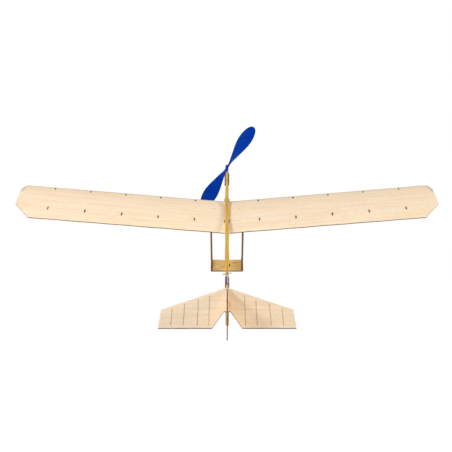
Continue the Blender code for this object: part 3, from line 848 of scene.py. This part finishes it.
def blade_ring(radius, axis_point):
    """Points round the blade's section at a signed radius in millimetres."""
    far = abs(radius)
    chord = blade_chord(far)
    thickness = max(LEAST_THICKNESS, ROOT_THICKNESS - THINNING * far) * tip_taper(far) ** 0.5
    pitch = math.atan2(PROP_PITCH, 2 * math.pi * far)
    angle = pitch if radius >= 0 else math.pi - pitch
    count = 28
    ring = []
    for i in range(count):
        turn = 2 * math.pi * i / count
        along = 0.5 * chord * math.cos(turn)
        edge = 2 * along / chord
        camber = BLADE_CAMBER * chord * (1 - edge**2) * math.copysign(1, radius) * min(1, far / 20)
        across = 0.5 * thickness * math.sin(turn) * (1 - 0.25 * edge) + camber
        x = along * math.cos(angle) - across * math.sin(angle)
        y = along * math.sin(angle) + across * math.cos(angle)
        ring.append(axis_point + tilt(Vector((x, y, radius)) * MM))
    return ring


def tilt(point):
    """Turns a point about the propeller's axis to where the blades rest."""
    cosine = math.cos(PROP_TURN)
    sine = math.sin(PROP_TURN)
    return Vector((point.x * cosine + point.z * sine, point.y, point.z * cosine - point.x * sine))


def make_hub(finish):
    """The hub, and the thinner boss that runs back from it to the washer."""
    rear = HUB_FRONT_Y - HUB_LENGTH
    ease = 0.3 * MM
    profile = [(BORE_RADIUS, HUB_FRONT_Y), (HUB_RADIUS - ease, HUB_FRONT_Y),
               (HUB_RADIUS, HUB_FRONT_Y - ease), (HUB_RADIUS, rear + ease),
               (HUB_RADIUS - ease, rear), (BOSS_RADIUS + ease, rear),
               (BOSS_RADIUS, rear - ease), (BOSS_RADIUS, BOSS_REAR_Y + 0.5 * ease),
               (BOSS_RADIUS - 0.5 * ease, BOSS_REAR_Y), (BORE_RADIUS, BOSS_REAR_Y)]
    return turned("propeller_hub", profile, finish)


def bore_cutter(finish):
    overrun = 3 * MM
    bore = [(a, HUB_FRONT_Y + overrun, AXIS_Z + b) for a, b in circle(BORE_RADIUS * 1.02, 24)]
    shape = bmesh.new()
    prism_into(shape, bore, (0, BOSS_REAR_Y - HUB_FRONT_Y - 2 * overrun, 0))
    return add_object("bore", shape, finish)


def make_propeller():
    """Two twisted blades in one run from tip to tip, bored for the shaft and joined to the hub."""
    finish = moulded_plastic()
    axis_point = Vector((0, HUB_FRONT_Y - HUB_LENGTH / 2, AXIS_Z))
    steps = 64
    radii = [BLADE_TIP * math.sin(math.pi / 2 * i / steps) for i in range(1, steps + 1)]
    signed = [-radius for radius in reversed(radii)] + [0.0] + radii
    blades = loft("propeller_blades", [blade_ring(radius, axis_point) for radius in signed], finish)
    hub = make_hub(finish)
    cut(blades, bore_cutter(finish))
    join(blades, hub)
    shade(blades, 45)
    stands_for(blades, PROPELLER, "blue_plastic", "propeller")


def make_shaft(steel):
    """A wire whose bent front end turns the hub, with a round hook behind the nose."""
    low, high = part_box("propeller_shaft")
    front = high.y - WIRE_RADIUS
    centre_y = low.y + HOOK_RADIUS + WIRE_RADIUS
    straight_end = (0, centre_y + HOOK_RADIUS + WIRE_RADIUS, AXIS_Z)
    points = [(0, front, AXIS_Z + BENT_END_RISE), (0, front, AXIS_Z), straight_end]
    route = rounded_path(points, 2 * WIRE_RADIUS, 6)
    for step in range(22):
        angle = math.radians(78 - 12.5 * step)
        route.append(Vector((0, centre_y + HOOK_RADIUS * math.cos(angle),
                             AXIS_Z + HOOK_RADIUS * math.sin(angle))))
    ring = circle(WIRE_RADIUS)
    shaft = sweep("shaft_wire", route, lambda i: ring, steel, up=Vector((1, 0, 0)))
    shade(shaft, 60)
    stands_for(shaft, PROPELLER, "steel_wire", "propeller_shaft")


def make_bearing():
    aluminium = metal("drawn_aluminium", colour(206, 206, 210), 0.36)
    low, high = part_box("nose_bearing")
    outer = (high.x - low.x) / 2
    ease = 0.15 * MM
    profile = [(BORE_RADIUS, high.y - ease), (BORE_RADIUS + ease, high.y), (outer - ease, high.y),
               (outer, high.y - ease), (outer, low.y + ease), (outer - ease, low.y),
               (BORE_RADIUS + ease, low.y), (BORE_RADIUS, low.y + ease)]
    tube = turned("bearing_tube", profile, aluminium)
    stands_for(tube, AIRFRAME, "aluminium_tube", "nose_bearing")


def make_washer(steel):
    outer = (WASHER_HIGH.x - WASHER_LOW.x) / 2
    front = WASHER_HIGH.y
    rear = WASHER_LOW.y
    ease = 0.1 * MM
    profile = [(BORE_RADIUS, front), (outer - ease, front), (outer, front - ease),
               (outer, rear + ease), (outer - ease, rear), (BORE_RADIUS, rear)]
    washer = turned("washer_disc", profile, steel)
    stands_for(washer, PROPELLER, "steel_wire", "thrust_washer")


# ---------------------------------------------------------------- rubber, rear hook and sleeve


def rubber_loop(front_y, rear_y):
    """Places round the loop: sideways place, Y, which strand (1 or -1), and 1 along a straight run."""
    runs = 110
    turns = 10
    length = front_y - rear_y
    places = [(RUBBER_SPREAD, front_y - length * i / runs, 1, 1) for i in range(runs)]
    for i in range(turns):
        turn = math.pi * i / turns
        places.append((RUBBER_SPREAD * math.cos(turn), rear_y - RUBBER_END * math.sin(turn),
                       math.cos(turn), 0))
    places += [(-RUBBER_SPREAD, rear_y + length * i / runs, -1, 1) for i in range(runs)]
    for i in range(turns):
        turn = math.pi * i / turns
        places.append((-RUBBER_SPREAD * math.cos(turn), front_y + RUBBER_END * math.sin(turn),
                       -math.cos(turn), 0))
    return places


def make_rubber():
    """One loop of flat latex strip: on edge round each hook, lying over and twisting between them."""
    low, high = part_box("rubber_motor")
    end_room = RUBBER_END + 0.5 * MM
    front_y = high.y - end_room
    rear_y = low.y + end_room
    settling = 0.14  # share of the run in which the strip turns from its edge to its flat
    sway = 0.14 * MM
    wave = 0.1 * MM
    lift = 0.22 * MM
    flat = math.radians(90)
    twist = math.radians(26)
    route = []
    turned_by = []
    widths = []
    for x, y, side, on_run in rubber_loop(front_y, rear_y):
        share = (front_y - y) / (front_y - rear_y)
        near_end = max(0.0, min(1.0, min(share, 1 - share) / settling))
        settle = near_end * near_end * (3 - 2 * near_end) * on_run
        height = AXIS_Z + (RUBBER_REAR_Z - AXIS_Z) * share
        height += (lift + wave * math.sin(9 * share + 2 * side)) * settle
        route.append(Vector((x + sway * math.sin(7 * math.pi * share + side) * settle, y, height)))
        turned_by.append(side * (flat + twist * math.sin(11 * share + 1.6 * side)) * settle)
        end_width = 0.85 - 0.35 * share
        widths.append((end_width + (0.97 - end_width) * settle) * MM)

    def section(i):
        return rounded_rectangle(RUBBER_HALF_THICKNESS, widths[i], 0.2 * MM, 3, turned_by[i])

    rubber = sweep("rubber_strip", route, section, rubber_finish(), closed=True)
    shade(rubber, 60)
    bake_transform(rubber)
    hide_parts("rubber_motor")


def make_rear_hook(steel):
    """A wire that rises from the stick to a crossbar, which keeps the rubber from slipping off."""
    low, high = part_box("rear_hook")
    bar_radius = 1.1 * WIRE_RADIUS
    foot_y = high.y - WIRE_RADIUS
    foot_z = low.z + WIRE_RADIUS
    bar_y = foot_y - UPRIGHT_LEAN
    bar_z = high.z - bar_radius
    points = [(0, low.y, foot_z), (0, foot_y, foot_z), (0, bar_y, bar_z)]
    hook = wire("hook_wire", points, WIRE_RADIUS, steel, 1.0 * MM)
    ends = [Vector((low.x, bar_y - CROSSBAR_SKEW, bar_z)),
            Vector((high.x, bar_y + CROSSBAR_SKEW, bar_z))]
    ring = circle(bar_radius)
    bar = sweep("crossbar", [ends[0], (ends[0] + ends[1]) / 2, ends[1]], lambda i: ring, steel)
    join(hook, bar)
    shade(hook, 60)
    stands_for(hook, AIRFRAME, "steel_wire", "rear_hook")


def sleeve_ring(y, floor, extra):
    """The sleeve's section: flat below, square at the stick's corners and humped over the wire."""
    half = HALF_STICK + 0.25 * MM
    top = STICK_TOP + 0.2 * MM
    shoulder = ((1, 0.06), (1, 0.5), (1, 0.9), (0.93, 0.99), (0.62, 1.04), (0.34, 1.13),
                (0.16, 1.2), (0, 1.22))  # shares of the half width and of the height
    rising = [(half * a, floor + (top - floor) * b) for a, b in shoulder]
    loop = [(0, floor), (half * 0.9, floor)] + rising
    mirrored = [(-x, z) for x, z in reversed(loop[1:-1])]
    middle = (top + floor) / 2
    points = []
    for x, z in loop + mirrored:
        outward = Vector((x, 0, z - middle)).normalized() * extra
        points.append(Vector((x, y, z)) + outward)
    return points


def make_sleeve():
    """Shrunk tube over the stick and the wire, with thinned lips and faint wrinkles."""
    low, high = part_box("rear_sleeve")
    floor = low.z + SLEEVE_WALL
    inside = 0.12 * MM
    steps = 14
    length = high.y - low.y
    outer = []
    for i in range(steps + 1):
        share = i / steps
        lip = 0.12 * MM * (2 * abs(share - 0.5)) ** 6
        wrinkle = 0.03 * MM * math.sin(9 * share)
        extra = SLEEVE_WALL - 0.08 * MM - lip + wrinkle
        outer.append(sleeve_ring(high.y - length * share, floor, extra))
    inner = [sleeve_ring(low.y, floor, inside), sleeve_ring(high.y, floor, inside)]
    sleeve = loft("shrink_tube", outer + inner, shrink_tube_finish(), closed=True)
    shade(sleeve, 50)
    stands_for(sleeve, AIRFRAME, "dark_sleeve", "rear_sleeve")


# ---------------------------------------------------------------- stage


def make_floor():
    """A floor that glows just under full white, so that it shows hardly any shading."""
    shape = bmesh.new()
    bmesh.ops.create_grid(shape, x_segments=1, y_segments=1, size=12)
    made, _, shader = new_material("white_floor", roughness=0.9, specular=0.0)
    shader.inputs["Base Color"].default_value = (0.03, 0.03, 0.03, 1)
    shader.inputs["Emission Color"].default_value = (1, 1, 1, 1)
    shader.inputs["Emission Strength"].default_value = 0.99
    floor = add_object("studio_floor", shape, made)
    floor.location.z = -0.2 * MM


def area_light(name, place, size, power, tint=(1, 1, 1)):
    """A round light aimed at the stick's top over the frame's origin; power is in watts."""
    data = bpy.data.lights.new(name, "AREA")
    data.shape = "DISK"
    data.size = size
    data.energy = power
    data.color = tint
    light = bpy.data.objects.new(name, data)
    bpy.context.scene.collection.objects.link(light)
    light.location = place
    towards = Vector((0, 0, STICK_TOP)) - Vector(place)
    light.rotation_euler = towards.to_track_quat("-Z", "Y").to_euler()


def make_lights():
    area_light("key_left", (-1.21, 0.06, 0.94), 0.3, 9.3, (0.91, 0.985, 1.06))
    area_light("fill_right", (1.43, 0.02, 0.52), 0.42, 11.1, (1.1, 1, 0.86))
    area_light("fill_rear", (-0.4, -1.55, 0.55), 1.0, 18)
    area_light("softbox_front", (0, 1.5, 1.15), 1.2, 1.6)
    make_world()
    bpy.context.scene.view_settings.view_transform = "Standard"
    bpy.context.scene.view_settings.look = "None"


def make_world():
    """A white surround: bright round the horizon and dimmer overhead."""
    world = bpy.data.worlds.new("studio")
    world.use_nodes = True
    tree = world.node_tree
    background = tree.nodes["Background"]
    background.inputs["Color"].default_value = (1, 1, 1, 1)
    direction = node(tree, "TexCoord").outputs["Generated"]
    height = node(tree, "SeparateXYZ", {"Vector": direction}).outputs["Z"]
    strength = node(tree, "MapRange", {"Value": height, "From Min": 0.28, "From Max": 0.4,
                                       "To Min": 1.0, "To Max": 0.36},
                    interpolation_type="SMOOTHSTEP")
    tree.links.new(strength.outputs["Result"], background.inputs["Strength"])
    bpy.context.scene.world = world


def make_camera():
    """A camera behind and above the tail, looking down at the middle of the model."""
    elevation = math.radians(36)
    distance = 659.7 * MM
    target = Vector((-1.06 * MM, 25.8 * MM, STICK_TOP))
    data = bpy.data.cameras.new("camera")
    data.sensor_width = 36
    data.lens = 49.38
    data.clip_start = 0.01
    data.clip_end = 50
    camera = bpy.data.objects.new("camera", data)
    bpy.context.scene.collection.objects.link(camera)
    back = Vector((0, -math.cos(elevation), math.sin(elevation)))
    camera.location = target + back * distance
    camera.rotation_euler = (math.radians(90) - elevation, 0, 0)
    bpy.context.scene.camera = camera


def make_balsa_pieces():
    sheet = balsa("balsa_sheet", "X", scorch_y=LE_Y - CHORD, front_shade=True)
    sheet_edge = scorched("balsa_burnt_edge", colour(74, 54, 32), colour(124, 96, 64))
    make_wing(sheet, sheet_edge)
    tail_edge = scorched("tail_burnt_edge", colour(60, 46, 30), colour(104, 82, 56), 0.3)
    # the tailplane takes painted shade, more on its right half
    tail = balsa("tail_balsa", "X", seed=0.37, scorch_y=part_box("tailplane")[0].y,
                 right_shade=(0.07, 0.24))
    make_tailplane(tail, tail_edge)
    fin_face = balsa("fin_balsa", "Y", seed=0.8)
    fin_edge = scorched("fin_burnt_edge", colour(72, 54, 34), colour(118, 92, 62), 0.7)
    finished_plate("fin", 0, (fin_face, fin_edge), "balsa")


def make_ply_pieces():
    face = ply("ply_face", colour(214, 172, 112), colour(176, 126, 72), "Y")
    edge = scorched("ply_burnt_edge", colour(40, 28, 18), colour(82, 60, 38))
    make_ribs(face, edge)
    make_saddles_and_cheeks(face)
    make_gear_legs()
    make_nose_block()
    make_stick()
    make_gear_plates(edge)


def main():
    make_camera()
    make_lights()
    make_floor()
    make_balsa_pieces()
    make_ply_pieces()
    make_propeller()
    steel = metal("drawn_steel", colour(190, 190, 194), 0.3)
    make_shaft(steel)
    make_bearing()
    make_washer(steel)
    make_rubber()
    make_rear_hook(steel)
    make_sleeve()


main()
